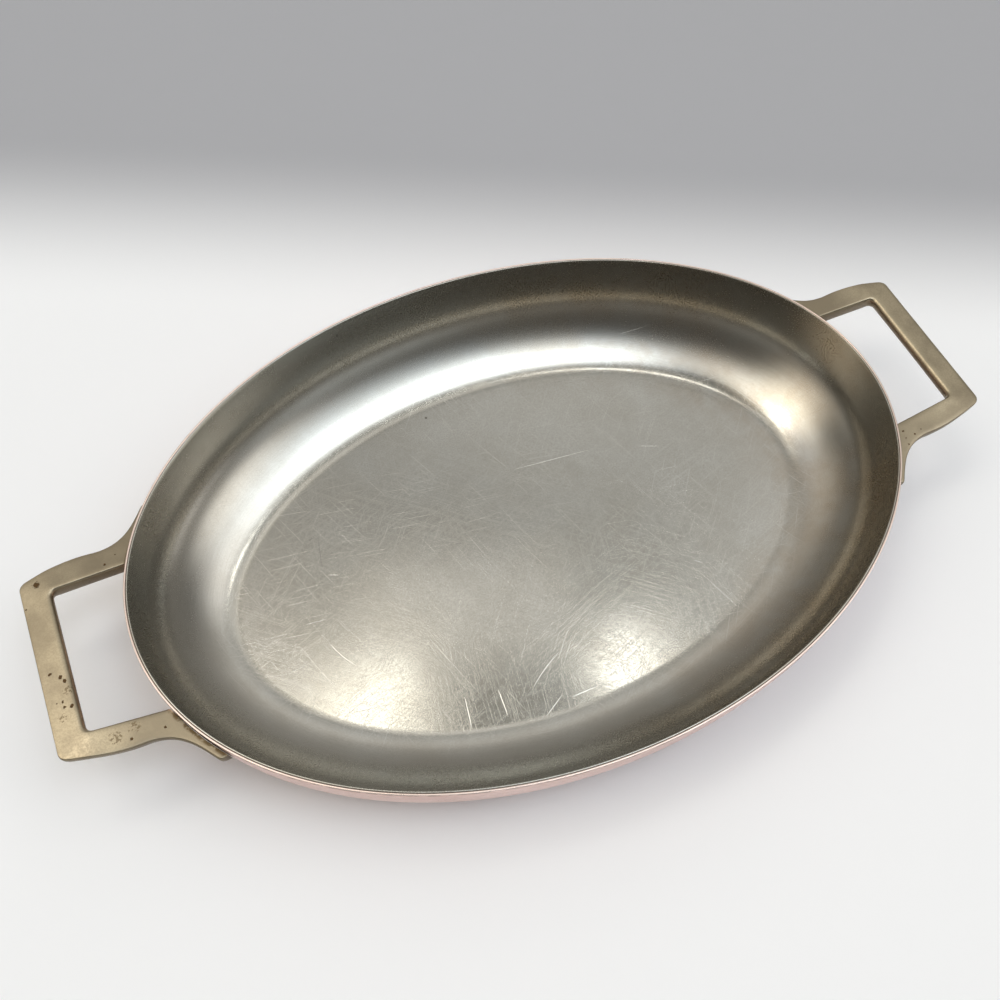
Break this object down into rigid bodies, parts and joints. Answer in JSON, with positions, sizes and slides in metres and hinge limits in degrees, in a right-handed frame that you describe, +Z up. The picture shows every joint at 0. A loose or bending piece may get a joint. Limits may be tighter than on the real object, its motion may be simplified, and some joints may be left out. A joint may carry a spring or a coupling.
{
  "type": "oval gratin pan",
  "caption": "Shallow oval pan with a flat floor and walls that curve up and outwards, a copper outside, a steel lining and a fixed cast loop handle at each end.",
  "frame": {"origin": "middle of the underside of the base, on the surface that the pan stands on", "axes": "+X along the pan towards one handle, +Y across it, +Z up out of the bowl"},
  "size_m": [0.398, 0.232, 0.045],
  "materials": {
    "copper": "satin copper, lightly tarnished",
    "steel": "brushed, with fine scratches from use",
    "cast_brass": "aged satin casting with small pits",
    "pin_brass": "plain"
  },
  "bodies": {
    "root": {"copper_body": "copper", "steel_lining": "steel", "right_handle": "cast_brass", "left_handle": "cast_brass", "right_rear_pin": "pin_brass", "right_front_pin": "pin_brass", "left_front_pin": "pin_brass", "left_rear_pin": "pin_brass"}
  },
  "joints": []
}
